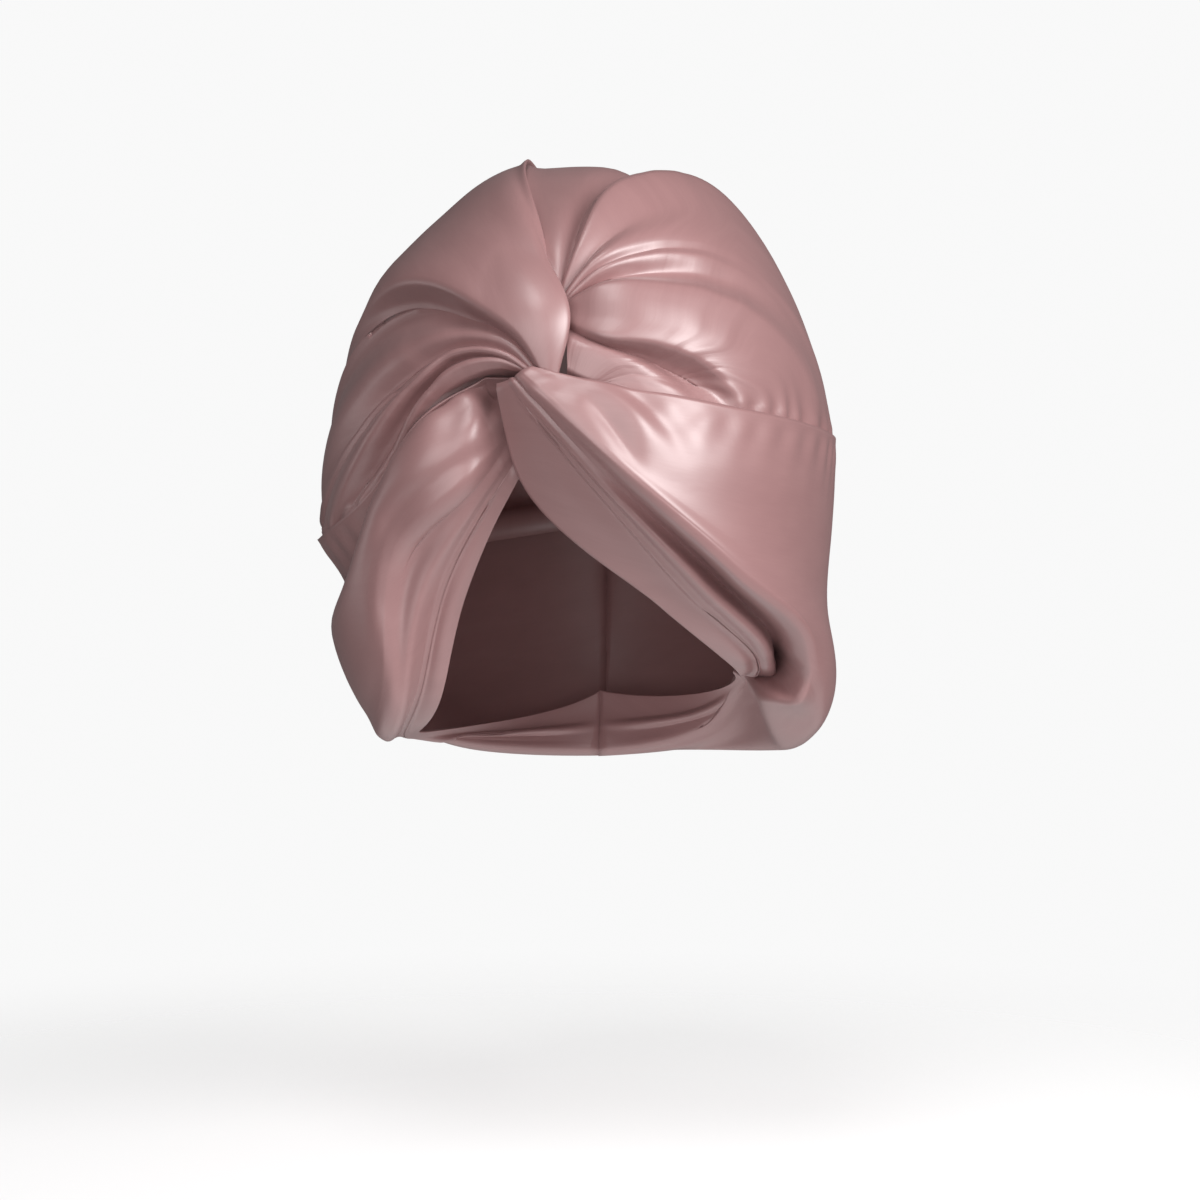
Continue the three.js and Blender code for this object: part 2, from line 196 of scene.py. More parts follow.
def gathers(run, depth, spacing, fade, height, seed):
    """Small puckers of a gathered seam: flat in the seam itself, and dying out away from it."""
    drift = [noise.noise(Vector((r / (GATHER_CHANGE * spacing), seed, 0))) for r in run.ravel()]
    phase = 2 * math.pi * run / spacing + GATHER_DRIFT * np.array(drift).reshape(run.shape)
    return height * np.sin(phase) * np.exp(-depth / fade) * np.clip((depth - SEAM_FLAT) / fade, 0, 1)


def furrows(along, across, folds, strips, rows):
    """Narrow furrows that sharpen named folds of a piece; a minus depth makes a ridge."""
    total = np.zeros(along.shape)
    names = list(folds)
    for name, (width, depth, reach) in rows.items():
        before, middle, after = (across[:, (names.index(name) + k) * strips, None] for k in (-1, 0, 1))
        room = np.clip(np.minimum(after - middle, middle - before) / (FURROW_ROOM * width), 0, 1)
        dying = np.clip((reach - along) / FURROW_FADE, 0, 1)
        total -= depth * room * dying * np.exp(-(((across - middle) / width) ** 2))
    from_end = along[-1:] - along
    return total * np.clip(along / FURROW_FADE, 0, 1) * np.clip(from_end / FURROW_FADE, 0, 1)


def turned_under(edge, down, deep, aside=0):
    """A strip of rows that carries an edge in, to the side and then down behind the next piece."""
    x, y = edge[:, :2].T / np.linalg.norm(edge[:, :2], axis=1)
    inward = np.column_stack((-x * deep - y * aside, -y * deep + x * aside, np.zeros(len(edge))))
    downward = np.outer(np.broadcast_to(down, len(edge)), (0, 0, -1))
    return np.array([edge + inward * share + downward * drop for share, drop in TURNED_UNDER])


def cloth_piece(name, grid, outward, satin):
    """A cloth piece as a closed wall: the outer sheet, the inner one and the rim between them."""
    rows, columns = grid.shape[:2]
    count = rows * columns
    inner = grid - grid_normals(grid, outward) * CLOTH_WALL
    points = np.vstack((grid.reshape(-1, 3), inner.reshape(-1, 3))) * MM
    first = (np.arange(rows - 1)[:, None] * columns + np.arange(columns - 1)).ravel()
    quads = np.column_stack((first, first + 1, first + columns + 1, first + columns))
    index = np.arange(count).reshape(rows, columns)
    rim = np.concatenate((index[0, :-1], index[:-1, -1], index[-1, :0:-1], index[:0:-1, 0]))
    onward = np.roll(rim, -1)
    edge = np.column_stack((onward, rim, rim + count, onward + count))
    faces = np.vstack((quads, quads[:, ::-1] + count, edge))
    faces = faces if outward > 0 else faces[:, ::-1]
    mesh = bpy.data.meshes.new(name)
    mesh.from_pydata(points.tolist(), [], faces.tolist())
    along, across = grid_distances(grid)
    flat = np.tile(np.column_stack((along.ravel(), across.ravel())) * MM, (2, 1))
    corner = np.zeros(len(mesh.loops), int)
    mesh.loops.foreach_get("vertex_index", corner)
    mesh.uv_layers.new(name="cloth").data.foreach_set("uv", flat[corner].ravel())
    mesh.shade_smooth()
    mesh.materials.append(satin)
    piece = bpy.data.objects.new(name, mesh)
    bpy.context.scene.collection.objects.link(piece)
    return piece


# The weave's inputs, and the numbers of its floating threads, its slubs and its crumple.
WEAVE = {"Thread width": 0.0004, "Thread relief": 0.3, "Crumple": 0.5}
FLOAT_SLANT = 0.2
FLOAT_RATE = 0.2
FLOAT_SWING = 0.25
FLOAT_LEVEL = 0.5
SLUB_SCALE = (60, 1500)
SLUB_DETAIL = 2
SLUB_SHADE = 0.35
SLUB_HEIGHT = 0.08
CRUMPLE_SCALE = (45, 110)
CRUMPLE_DETAIL = 3
CRUMPLE_SHADE = 0.65
THREAD_HEIGHT = 0.02


def weave_group():
    """Satin weave: long floating threads, uneven slubs and a soft crumple, on the cloth's own flat map."""
    group = bpy.data.node_groups.new("satin_weave", "ShaderNodeTree")
    for label, value in WEAVE.items():
        socket = group.interface.new_socket(label, in_out="INPUT", socket_type="NodeSocketFloat")
        socket.default_value = value
    for label in ("Shade", "Height"):
        group.interface.new_socket(label, in_out="OUTPUT", socket_type="NodeSocketFloat")
    nodes, link = group.nodes, group.links.new
    given, made = nodes.new("NodeGroupInput"), nodes.new("NodeGroupOutput")
    flat = nodes.new("ShaderNodeUVMap")
    flat.uv_map = "cloth"

    def math_node(kind, *values):
        node = nodes.new("ShaderNodeMath")
        node.operation = kind
        for socket, value in zip(node.inputs, values):
            if isinstance(value, (int, float)):
                socket.default_value = value
            else:
                link(value, socket)
        return node.outputs[0]

    def noise_on(scale, detail):
        stretch = nodes.new("ShaderNodeMapping")
        stretch.inputs["Scale"].default_value = (*scale, 1)
        link(flat.outputs["UV"], stretch.inputs["Vector"])
        grain = nodes.new("ShaderNodeTexNoise")
        grain.inputs["Scale"].default_value = 1
        grain.inputs["Detail"].default_value = detail
        link(stretch.outputs["Vector"], grain.inputs["Vector"])
        return grain.outputs["Fac"]

    apart = nodes.new("ShaderNodeSeparateXYZ")
    link(flat.outputs["UV"], apart.inputs[0])
    turns = math_node("DIVIDE", 2 * math.pi, given.outputs["Thread width"])
    weft = math_node("SINE", math_node("MULTIPLY", apart.outputs["Y"], turns))
    slant = math_node("MULTIPLY_ADD", apart.outputs["Y"], FLOAT_SLANT, apart.outputs["X"])
    floats = math_node("SINE", math_node("MULTIPLY", slant, math_node("MULTIPLY", turns, FLOAT_RATE)))
    threads = math_node("MULTIPLY", weft, math_node("MULTIPLY_ADD", floats, FLOAT_SWING, FLOAT_LEVEL))
    slubs = noise_on(SLUB_SCALE, SLUB_DETAIL)
    crumple = noise_on(CRUMPLE_SCALE, CRUMPLE_DETAIL)
    shade = math_node("MULTIPLY_ADD", slubs, SLUB_SHADE, math_node("MULTIPLY", crumple, CRUMPLE_SHADE))
    thread_relief = given.outputs["Thread relief"]
    relief = math_node("MULTIPLY", threads, math_node("MULTIPLY", thread_relief, THREAD_HEIGHT))
    streaks = math_node("MULTIPLY", slubs, math_node("MULTIPLY", thread_relief, SLUB_HEIGHT))
    waves = math_node("MULTIPLY", crumple, given.outputs["Crumple"])
    link(shade, made.inputs["Shade"])
    link(math_node("ADD", waves, math_node("ADD", relief, streaks)), made.inputs["Height"])
    return group


# The satin: its two colours, the limits of its roughness, the strength and depth in metres of its
# relief, and the shader's own values.
ROSE_LIGHT = (0.4, 0.215, 0.213)
ROSE_DEEP = (0.32, 0.16, 0.161)
ROUGHNESS_DEEP = 0.45
ROUGHNESS_LIGHT = 0.35
RELIEF_STRENGTH = 0.35
RELIEF_DEPTH = 0.0006
SATIN = {
    "Specular IOR Level": 0.9,
    "Coat Weight": 0.5,
    "Coat Roughness": 0.42,
    "Sheen Weight": 0.06,
    "Sheen Roughness": 0.45,
}


def satin_silk(name):
    """Satin silk: a clear gloss over soft colour, with the weave in its shade, gloss and relief."""
    material = bpy.data.materials.new(name)
    material.use_nodes = True
    nodes, link = material.node_tree.nodes, material.node_tree.links.new
    shader = nodes["Principled BSDF"]
    weave = nodes.new("ShaderNodeGroup")
    weave.node_tree = SATIN_WEAVE
    tint = nodes.new("ShaderNodeMix")
    tint.data_type = "RGBA"
    tint.inputs["A"].default_value = (*ROSE_DEEP, 1)
    tint.inputs["B"].default_value = (*ROSE_LIGHT, 1)
    link(weave.outputs["Shade"], tint.inputs["Factor"])
    link(tint.outputs["Result"], shader.inputs["Base Color"])
    spread = nodes.new("ShaderNodeMapRange")
    spread.inputs["To Min"].default_value = ROUGHNESS_DEEP
    spread.inputs["To Max"].default_value = ROUGHNESS_LIGHT
    link(weave.outputs["Shade"], spread.inputs["Value"])
    link(spread.outputs["Result"], shader.inputs["Roughness"])
    bump = nodes.new("ShaderNodeBump")
    bump.inputs["Strength"].default_value = RELIEF_STRENGTH
    bump.inputs["Distance"].default_value = RELIEF_DEPTH
    link(weave.outputs["Height"], bump.inputs["Height"])
    link(bump.outputs["Normal"], shader.inputs["Normal"])
    for label, value in SATIN.items():
        shader.inputs[label].default_value = value
    return material


SATIN_WEAVE = weave_group()
# Furrows: width, depth and how far from the twist they reach, in millimetres.
RIGHT_CROWN_FURROWS = {"first tuck": (2, 1.5, 400), "pocket": (3, 1.5, 400)}
# Points from place to place along the folds and from fold to fold, and the drop of the hidden strips.
RIGHT_CROWN_STEPS = 32
RIGHT_CROWN_STRIPS = 9
RIGHT_CROWN_HIDDEN = 14

places = crown_places(RIGHT_CROWN_FOLDS, RIGHT_SEAM)
grid = cloth_grid(RIGHT_CROWN_FOLDS, places, RIGHT_CROWN_STEPS, RIGHT_CROWN_STRIPS)
along, across = grid_distances(grid)
long_folds = np.clip(along[-1:] / GATHERED_FROM - 1, 0, 1)
relief = ripples(along, across, length=70, width=18, height=0.5, seed=1.5)
relief += furrows(along, across, RIGHT_CROWN_FOLDS, RIGHT_CROWN_STRIPS, RIGHT_CROWN_FURROWS)
relief += long_folds * gathers(across, along[-1:] - along, spacing=14, fade=7, height=3.5, seed=2.5)
relief -= SEAM_ROLL_DEPTH * np.exp(-((across / SEAM_ROLL_WIDTH) ** 2))
grid = grid + grid_normals(grid, -1) * relief[..., None]
strip_corner = np.ones(len(TURNED_UNDER))
below = np.append(np.full(len(grid), RIGHT_CROWN_HIDDEN), strip_corner)
grid = np.concatenate((grid, turned_under(grid[-1], down=RIGHT_CROWN_HIDDEN, deep=3)))
grid = np.concatenate((grid, turned_under(grid[:, -1], down=below, deep=2).swapaxes(0, 1)), axis=1)
right_crown = cloth_piece("crown_right_cloth", grid, -1, satin_silk("right_crown_satin"))
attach(right_crown, "root")
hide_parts("crown_right")

# Left crown half
# The other cut of satin silk. It loops over the right half to make the twist, and spreads in pleats to
# the left, where its lower edge is gathered into the seam of the left band.

LEFT_SEAM = np.array((
    (-17, 16.5, -7), (-29.5, 9, 0.5), (-42.5, -3, 2.8), (-66, -10.5, 5), (-100, -10, 4.5), (-180, -1, 2),
))
# Columns: crease, knot, loop, brow, front, side, and the turn at which the fold meets the band.
LEFT_CROWN_FOLDS = {
    "rolled edge": (0, (-1.5, 14.5, -1), (-1.5, 23.5, 1.5), (-5.5, 40.5, 0.6), (-21, 62.5, 0.3),
        (-160, 62, 0.3), -180),
    "loop": (0, (0.5, 14.2, 1), (3.2, 24.5, 6), (-4, 37.5, 4.5), (-25, 59, 2), (-130, 62, -0.5), -168),
    "smooth panel": (0, (-0.3, 14.2, 2), (-1, 22.5, 9), (-14, 38.5, 5.5), (-44, 51, 0),
        (-105, 44, -3), -145),
    "panel lip": (0.6, (-1, 14.2, 2), (-6, 20.3, 8), (-17, 26.3, 9), (-35, 31.7, 7.5), (-75, 24, 0), -114),
    "under the lip": (0.5, (-1.8, 14.5, 0), (-8, 21, 0.5), (-20.5, 26.5, -4.5),
        (-39, 30.5, -5.5), (-75, 19, -3), -106),
    "second panel": (0, (-2.5, 14.8, 1), (-9, 19.8, 4), (-22.5, 21.8, 4), (-38, 17.8, 2.5),
        (-66, 4, 3), -97),
    "second crease": (0.7, (-3.2, 15.1, 0), (-9.7, 18.9, 0.5), (-23, 19.9, -1.5),
        (-35, 15, -2), (-54, 3.5, 0.5), -81),
    "third pleat": (0.2, (-3.9, 15.4, 1.5), (-10.2, 18.4, 4.3), (-22, 18.8, 5),
        (-31.5, 13.7, 5), (-47, 2, 4.2), -67),
    "third crease": (0.7, (-4.6, 15.7, 0), (-11.2, 18.1, -1), (-23.5, 18.1, -3.5),
        (-32.3, 12.7, -5), (-42, 2.5, -5), -55),
    "fourth pleat": (0, (-5.3, 16, 1), (-11.5, 17.5, 3), (-21.5, 16.2, 3), (-29, 11.6, 2),
        (-38, 3, -1.5), -48),
    "lower edge": (0, (-6, 16.2, 0), (-12, 16.8, 0.8), (-21.5, 14.9, -0.5), (-29, 10.8, -2),
        (-38, 2.4, -2.5), -45),
}
LEFT_CROWN_FURROWS = {
    "under the lip": (4, 2.5, 400),
    "second crease": (2, 2, 400),
    "third crease": (2.5, 2, 400),
}
LEFT_CROWN_STEPS = 28
LEFT_CROWN_STRIPS = 12
# Behind the lower edge: millimetres from the twist, and how deep the hidden strip goes in there.
BEHIND_TWIST = ((0, 24), (40, 16), (65, 6))
BEHIND_TWIST_DOWN = 22

places = crown_places(LEFT_CROWN_FOLDS, LEFT_SEAM)
grid = cloth_grid(LEFT_CROWN_FOLDS, places, LEFT_CROWN_STEPS, LEFT_CROWN_STRIPS)
along, across = grid_distances(grid)
long_folds = np.clip(along[-1:] / GATHERED_FROM - 1, 0, 1)
relief = ripples(along, across, length=70, width=18, height=0.5, seed=7.5)
relief += furrows(along, across, LEFT_CROWN_FOLDS, LEFT_CROWN_STRIPS, LEFT_CROWN_FURROWS)
relief += long_folds * gathers(across, along[-1:] - along, spacing=14, fade=7, height=3, seed=8.5)
relief -= SEAM_ROLL_DEPTH * np.exp(-((across / SEAM_ROLL_WIDTH) ** 2))
grid = grid + grid_normals(grid, 1) * relief[..., None]
behind_twist = np.interp(grid_distances(grid)[0][:, -1], *zip(*BEHIND_TWIST))
behind_twist = np.concatenate((strip_corner, behind_twist, strip_corner))
below = np.concatenate((strip_corner, np.full(len(grid), BEHIND_TWIST_DOWN), strip_corner))
in_the_twist = turned_under(grid[0], down=32, deep=24)[::-1]
grid = np.concatenate((in_the_twist, grid, turned_under(grid[-1], down=14, deep=8)))
grid = np.concatenate((grid, turned_under(grid[:, -1], below, behind_twist).swapaxes(0, 1)), axis=1)
left_crown = cloth_piece("crown_left_cloth", grid, 1, satin_silk("left_crown_satin"))
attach(left_crown, "root")
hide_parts("crown_left")

# Right band
# A deep band of the same satin, sewn to the right crown along its upper edge. It folds under along the
# face into a roll and a facing, and its slack hangs in a pouch at the lower end.

# Columns: crease, knot, brow, temple, cheek, corner, hook, curl, side.
RIGHT_BAND_FOLDS = {
    "seam edge": (0, (-4, 15.8, 5.5), (5, 14, 6.5), (31, 10.5, 6.5), (69, 7.5, 2.5), (84, 6.5, 1.9),
        (93, 6, 1.6), (100, 5.6, 1.5), (108, 5.3, 1.5)),
    "wavy panel": (0, (-4.7, 15.4, 6.5), (7.5, 8.7, 10), (31.5, 3.5, 9.5), (67, -1.5, 2.5),
        (82, -3.3, 0.9), (91, -4.2, 0.2), (98, -5, 0), (106, -5.7, 0)),
    "lower panel": (0, (-5.3, 15.1, 7), (9.3, 4, 12), (33, -9.7, 11), (66, -20, 3.5), (80, -24, 1.5),
        (90, -26.5, 0), (97, -28, -1), (106, -30, -2)),
    "pouch": (0, (-5.8, 14.8, 7.2), (9.7, 3, 12.3), (34, -12.7, 13), (65, -27, 8.5), (78, -35, 9),
        (89, -43, 9), (96, -51, 6.5), (106, -57, 3)),
    "under pouch": (0, (-6, 14.7, 7.1), (9.8, 2.6, 12.3), (34.5, -13.5, 13), (64.5, -29.5, 9.5),
        (73, -38, 9), (84, -50, 7.5), (90, -58, 4), (104, -64, 0)),
    "pouch valley": (0, (-6.3, 14.5, 7), (10, 2.2, 12.2), (35, -14.3, 13), (64, -30.8, 9.5),
        (70, -38.5, 7.5), (76, -47, 3), (76, -53, -6), (100, -61, -8)),
    "main fold": (0.4, (-6.8, 14.3, 6.5), (10, 1.5, 11), (35.5, -16, 12), (62.5, -32, 8),
        (66.3, -37.5, 6.5), (66.5, -43, 4), (67, -47, -5), (100, -57, -16)),
    "deep crease": (0.6, (-7.3, 14.1, 5), (9.7, 0.5, 2), (37, -18, -9), (67, -33.5, -13),
        (80, -39.5, -19), (88, -45, -24), (90, -49, -27), (100, -53, -26)),
    "roll": (0, (-8, 13.9, 5.5), (7, 0.5, 3), (32.5, -20, 0), (58, -35.5, -6), (66, -41, -10),
        (74, -45, -14), (80, -49, -21), (95, -53, -23)),
    "roll crease": (0.6, (-9, 13.7, 4), (4, 2.5, -3), (33, -22.5, -9), (60, -38.5, -13),
        (68, -43.5, -16), (74.5, -47.5, -20), (80, -50.5, -25), (94, -54, -25)),
    "facing": (0, (-10.2, 13.5, 3), (-2, 1, -8), (31.5, -23.7, -12), (58, -41, -14), (66, -45.5, -18),
        (73, -49, -22), (79, -51.5, -26), (93, -55, -26.5)),
    "opening edge": (0, (-12, 13.5, 1), (-9, -2, -16), (27.5, -28, -17.5), (56, -43.5, -17.5),
        (65, -48, -20), (72, -50.5, -24), (78, -52.5, -28), (92, -56, -28)),
}
RIGHT_BAND_FURROWS = {"deep crease": (3, 2.5, 400), "roll crease": (2, 2.2, 400)}
# Wrinkles of the wavy panel: width, height, then the places each one runs through.
RIGHT_BAND_WRINKLES = {
    "first wave": (3.5, 1.6, (5, 11.8, 6), (10.6, 7.3, 10), (13.6, 3.9, 11), (17, -0.6, 11)),
    "first dip": (4, -1.6, (8, 12.9, 6), (14.5, 9.4, 9), (19, 4, 10)),
    "second wave": (5, 1.6, (10, 12.9, 6), (17.6, 10.7, 8), (22.8, 5.9, 9.5), (27, 0.3, 10)),
}
# At the centre back a band goes down outside, round the bottom and up inside: (rise, lift) of its hem.
NAPE_HEM = ((-1, 2), (-28, 2), (-58, 1), (-74, -1), (-76, -7), (-69, -13), (-58, -18.5))
# The bands pass each other a little at the centre back, and their seam dies out over these shares of the
# way from the upper edge to the facing.
BACK_MEETING = 180.3
BACK_SEAM_FADE = (0.25, 5 / 12)
RIGHT_BAND_STEPS = 30
RIGHT_BAND_STRIPS = 12
# Where the pouch is eased: start, full, fall and end, along the folds in places from the knot, and across
# them in rows of the table.
POUCH_PLACES = (3.5, 5.5, 7, 8)
POUCH_ROWS = (1.5, 3, 5, 6)
POUCH_ROUNDS = 80
EASE = 0.5
# Steps of a wrinkle's line from place to place.
WRINKLE_STEPS = 12


def band_places(folds, back):
    """Each fold of a band as its places, from the twist to the hem at the centre back."""
    share = np.linspace(0, 1, len(folds))
    hem = np.array(NAPE_HEM, float)
    knots = np.linspace(0, 1, len(hem))
    rise, lift = (np.interp(share, knots, column) for column in hem.T)
    ends = np.column_stack((np.full(len(folds), back), rise, lift))
    return [np.array([*row[1:], end], float) for row, end in zip(folds.values(), ends)]


def back_seam(along, across):
    """The rolled seam at the centre back, which dies out towards the hem."""
    share = across / across[:, -1:]
    roll = np.exp(-(((along[-1:] - along) / SEAM_ROLL_WIDTH) ** 2))
    return -SEAM_ROLL_DEPTH * roll * np.interp(share, BACK_SEAM_FADE, (1, 0))


def softened(grid, along_limits, across_limits, steps, strips, rounds):
    """The grid with its kinks eased inside the limits, most between the inner two of each four."""
    along_share = np.interp(np.arange(grid.shape[0]) / steps, along_limits, (0, 1, 1, 0))
    across_share = np.interp(np.arange(grid.shape[1]) / strips, across_limits, (0, 1, 1, 0))
    weight = np.outer(along_share, across_share)[1:-1, 1:-1, None] * EASE
    grid = grid.copy()
    for _ in range(rounds):
        middle = (grid[:-2, 1:-1] + grid[2:, 1:-1] + grid[1:-1, :-2] + grid[1:-1, 2:]) / 4
        grid[1:-1, 1:-1] += (middle - grid[1:-1, 1:-1]) * weight
    return grid


def wrinkles(grid, rows):
    """Single wrinkles along drawn lines: a ridge where the height is plus, a furrow where it is minus."""
    points = grid.reshape(-1, 3)
    total = np.zeros(len(points))
    for width, height, *places in rows.values():
        line = form_curve(np.array(places, float), WRINKLE_STEPS)
        gap = np.linalg.norm(points[:, None] - line[None], axis=2)
        ends = np.sin(np.pi * (np.arange(len(line)) + 0.5) / len(line))
        total += height * (ends * np.exp(-((gap / width) ** 2))).max(axis=1)
    return total.reshape(grid.shape[:2])


places = band_places(RIGHT_BAND_FOLDS, BACK_MEETING)
grid = cloth_grid(RIGHT_BAND_FOLDS, places, RIGHT_BAND_STEPS, RIGHT_BAND_STRIPS)
grid = softened(grid, POUCH_PLACES, POUCH_ROWS, RIGHT_BAND_STEPS, RIGHT_BAND_STRIPS, POUCH_ROUNDS)
along, across = grid_distances(grid)
relief = ripples(along, across, length=80, width=26, height=0.4, seed=11.5)
relief += gathers(along, across, spacing=17, fade=7, height=1.5, seed=12.5)
relief += back_seam(along, across)
relief += furrows(along, across, RIGHT_BAND_FOLDS, RIGHT_BAND_STRIPS, RIGHT_BAND_FURROWS)
relief += wrinkles(grid, RIGHT_BAND_WRINKLES)
grid = grid + grid_normals(grid, -1) * relief[..., None]
grid = np.concatenate((turned_under(grid[0], down=8, deep=18)[::-1], grid))
right_band = cloth_piece("band_right_cloth", grid, -1, satin_silk("right_band_satin"))
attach(right_band, "root")
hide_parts("band_right")

# Left band
# The matching band at the left. It comes out from behind the twist, drapes over its own seam in a long
# belly and turns in along the face as a facing.

# Columns: crease, knot, brow, temple, cheek, side.
LEFT_BAND_FOLDS = {
    "seam edge": (0, (-17, 16.5, -7), (-29.5, 9, 0.5), (-42.5, -3, 2.8), (-66, -10.5, 5),
        (-100, -10, 4.5)),
    "under the drape": (0.3, (-17.3, 16, -9.5), (-30.5, 7, -2.5), (-42.5, -6.5, -1), (-61, -18, -4),
        (-98, -20, -4)),
    "drape crest": (0, (-17.6, 15.4, -11), (-28, 7.5, 4), (-38, -4, 8.5), (-48, -20, 11), (-94, -34, -6)),
    "drape belly": (0, (-17.6, 14.4, -12.5), (-23, 3, 7.5), (-36, -7.8, 11.5), (-46, -28, 10.5),
        (-92, -44, -7)),
    "knot hollow": (0, (-16, 13, -16), (-19.5, 2.6, 4), (-35, -9, 11), (-43.5, -32.5, 9.5),
        (-90, -52, -8)),
    "second hump": (0, (-13.6, 11, -15), (-18.7, 1, 2.2), (-34, -10, 9.5), (-42, -35.5, 8.5),
        (-90, -56, -9)),
    "drape lip": (0.4, (-12.6, 6.5, -16), (-18, -0.7, -0.5), (-33, -11, 6.5), (-40.8, -38, 7.8),
        (-90, -59, -9.5)),
    "recess": (0.2, (-12.3, 4.5, -16.5), (-19, -2.4, -7), (-32, -12.6, 0), (-40, -40.5, 6.2),
        (-90, -62, -10)),
    "inner ridge": (0.2, (-12, 2.7, -17), (-19, -6.5, -9), (-29.5, -18.5, -2.5), (-39.7, -43.5, 3.5),
        (-90, -64.5, -10.5)),
    "inner crease": (0.6, (-11.6, 0.8, -18.5), (-20, -8.2, -14.5), (-30, -21.5, -13), (-44.5, -47, -11),
        (-90, -66.5, -11.5)),
    "facing": (0, (-11, -0.7, -19), (-19, -10.5, -17.3), (-28.5, -26, -15.5), (-43.5, -52, -14.2),
        (-90, -68.3, -13)),
    "opening edge": (0, (-10.3, -2, -20), (-18, -12, -20), (-28, -27.5, -19.2), (-42.5, -54, -16.5),
        (-90, -69, -15)),
}
LEFT_BAND_FURROWS = {"recess": (4, 1.5, 400), "inner crease": (2, 2.5, 400)}
LEFT_BAND_WRINKLES = {
    "hollow by the twist": (6, -3.5, (-19.5, 15, -9), (-18.3, 9.5, -5), (-17.8, 6, -0.5), (-18.5, 2.5, 3)),
    "lip ridge": (6, 2.5, (-15.5, 4.5, -7), (-19, 1, 3), (-24.5, -3, 8.5), (-31, -6.5, 9.5),
        (-35.5, -11, 10.5), (-38, -17, 11.5), (-39, -24, 10.5)),
    "lip shade": (6, -4, (-15, 1, -12), (-19, -2.5, -2.5), (-25, -6, 2), (-31, -10, 4.5), (-35, -14, 8),
        (-37.5, -20, 9)),
}
LEFT_BAND_STEPS = 28
LEFT_BAND_STRIPS = 11

places = band_places(LEFT_BAND_FOLDS, -BACK_MEETING)
grid = cloth_grid(LEFT_BAND_FOLDS, places, LEFT_BAND_STEPS, LEFT_BAND_STRIPS)
along, across = grid_distances(grid)
relief = ripples(along, across, length=80, width=26, height=0.4, seed=17.5)
relief += gathers(along, across, spacing=17, fade=7, height=1.5, seed=18.5)
relief += back_seam(along, across)
relief += furrows(along, across, LEFT_BAND_FOLDS, LEFT_BAND_STRIPS, LEFT_BAND_FURROWS)
relief += wrinkles(grid, LEFT_BAND_WRINKLES)
grid = grid + grid_normals(grid, 1) * relief[..., None]
grid = np.concatenate((turned_under(grid[0], down=2, deep=12, aside=24)[::-1], grid))
left_band = cloth_piece("band_left_cloth", grid, 1, satin_silk("left_band_satin"))
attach(left_band, "root")
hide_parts("band_left")

# Floor, light and camera
# A plain pale floor under the bonnet that fades into the white studio, a soft key light at the right, a
# broad one in front, weak ones above and at the left, and a camera at the photograph's angle.

FLOOR_LEVEL = -0.245
FLOOR_HALF = 3.0
FLOOR_PALE = (0.88, 0.87, 0.87)
FLOOR_ROUGHNESS = 0.8
FLOOR_GLOW = 0.45
FLOOR_FADE_FROM = 0.15
FLOOR_FADE_TO = 0.6
STUDIO_WHITE = 0.945
STUDIO_AMBIENT = 0.05
STUDIO_TINT = (1, 0.985, 0.985)

floor_mesh = bpy.data.meshes.new("floor")
corners = [(x * FLOOR_HALF, y * FLOOR_HALF, FLOOR_LEVEL) for x, y in ((-1, -1), (1, -1), (1, 1), (-1, 1))]
floor_mesh.from_pydata(corners, [], [(0, 1, 2, 3)])
floor = bpy.data.objects.new("floor", floor_mesh)
bpy.context.scene.collection.objects.link(floor)
pale = bpy.data.materials.new("floor_pale")
pale.use_nodes = True
nodes, link = pale.node_tree.nodes, pale.node_tree.links.new
shader = nodes["Principled BSDF"]
shader.inputs["Base Color"].default_value = (*FLOOR_PALE, 1)
shader.inputs["Roughness"].default_value = FLOOR_ROUGHNESS
shader.inputs["Emission Color"].default_value = (*FLOOR_PALE, 1)
shader.inputs["Emission Strength"].default_value = FLOOR_GLOW
from_middle = nodes.new("ShaderNodeTexCoord")
radius = nodes.new("ShaderNodeVectorMath")
radius.operation = "LENGTH"
fade = nodes.new("ShaderNodeMapRange")
fade.interpolation_type = "SMOOTHSTEP"
fade.inputs["From Min"].default_value = FLOOR_FADE_FROM
fade.inputs["From Max"].default_value = FLOOR_FADE_TO
clear = nodes.new("ShaderNodeBsdfTransparent")
mixed = nodes.new("ShaderNodeMixShader")
link(from_middle.outputs["Object"], radius.inputs[0])
link(radius.outputs["Value"], fade.inputs["Value"])
link(fade.outputs["Result"], mixed.inputs["Fac"])
link(shader.outputs["BSDF"], mixed.inputs[1])
link(clear.outputs["BSDF"], mixed.inputs[2])
link(mixed.outputs["Shader"], nodes["Material Output"].inputs["Surface"])
floor_mesh.materials.append(pale)

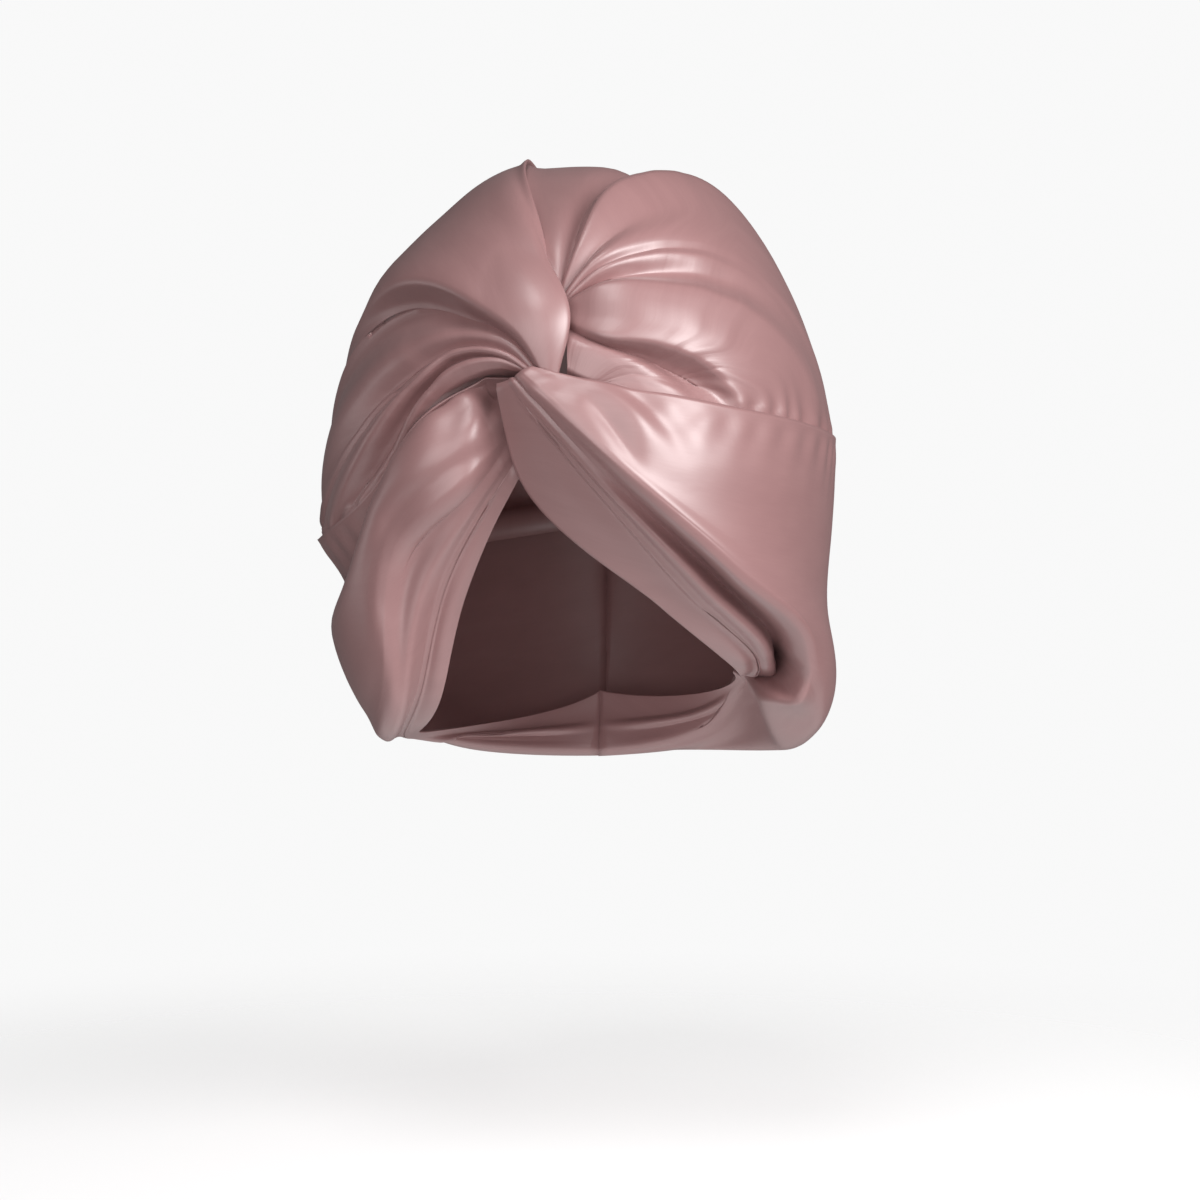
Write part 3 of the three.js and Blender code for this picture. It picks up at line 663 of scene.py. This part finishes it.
studio = bpy.data.worlds.new("studio")
bpy.context.scene.world = studio
studio.use_nodes = True
nodes, link = studio.node_tree.nodes, studio.node_tree.links.new
around = nodes["Background"]
around.inputs["Color"].default_value = (*STUDIO_TINT, 1)
around.inputs["Strength"].default_value = STUDIO_AMBIENT
behind = nodes.new("ShaderNodeBackground")
behind.inputs["Color"].default_value = (STUDIO_WHITE, STUDIO_WHITE, STUDIO_WHITE, 1)
rays = nodes.new("ShaderNodeLightPath")
chosen = nodes.new("ShaderNodeMixShader")
link(rays.outputs["Is Camera Ray"], chosen.inputs["Fac"])
link(around.outputs["Background"], chosen.inputs[1])
link(behind.outputs["Background"], chosen.inputs[2])
link(chosen.outputs["Shader"], nodes["World Output"].inputs["Surface"])

# Each light: place in metres, its width and height in metres, watts.
STUDIO_LIGHTS = {
    "key": ((1.08, -0.72, 0.54), 0.8, 1.0, 20),
    "front": ((-0.15, -1.33, 0.25), 1.5, 1.5, 10),
    "top": ((-0.1, -0.69, 1.24), 0.6, 0.6, 5),
    "left": ((-1.39, 0.12, 0.03), 0.5, 0.8, 1),
}
AIMED_AT = Vector((0, 0, 0.03))
for name, (place, width, height, watts) in STUDIO_LIGHTS.items():
    lamp = bpy.data.lights.new(name, "AREA")
    lamp.shape = "ELLIPSE"
    lamp.size = width
    lamp.size_y = height
    lamp.energy = watts
    light = bpy.data.objects.new(name, lamp)
    light.location = place
    light.rotation_euler = (AIMED_AT - Vector(place)).to_track_quat("-Z", "Y").to_euler()
    bpy.context.scene.collection.objects.link(light)

CAMERA_TURN = math.radians(5)
CAMERA_BACK = 1.17
CAMERA_ASIDE = 0.0074
CAMERA_LENS = 85.6
CAMERA_SENSOR = 36
CAMERA_SHIFT = -0.05
lens = bpy.data.cameras.new("camera")
lens.lens = CAMERA_LENS
lens.sensor_width = CAMERA_SENSOR
lens.shift_y = CAMERA_SHIFT
camera = bpy.data.objects.new("camera", lens)
across_view = Vector((math.cos(CAMERA_TURN), math.sin(CAMERA_TURN), 0))
into_view = Vector((-math.sin(CAMERA_TURN), math.cos(CAMERA_TURN), 0))
camera.location = across_view * CAMERA_ASIDE - into_view * CAMERA_BACK
camera.rotation_euler = (math.pi / 2, 0, CAMERA_TURN)
bpy.context.scene.collection.objects.link(camera)
bpy.context.scene.camera = camera
bpy.context.scene.view_settings.view_transform = "Standard"
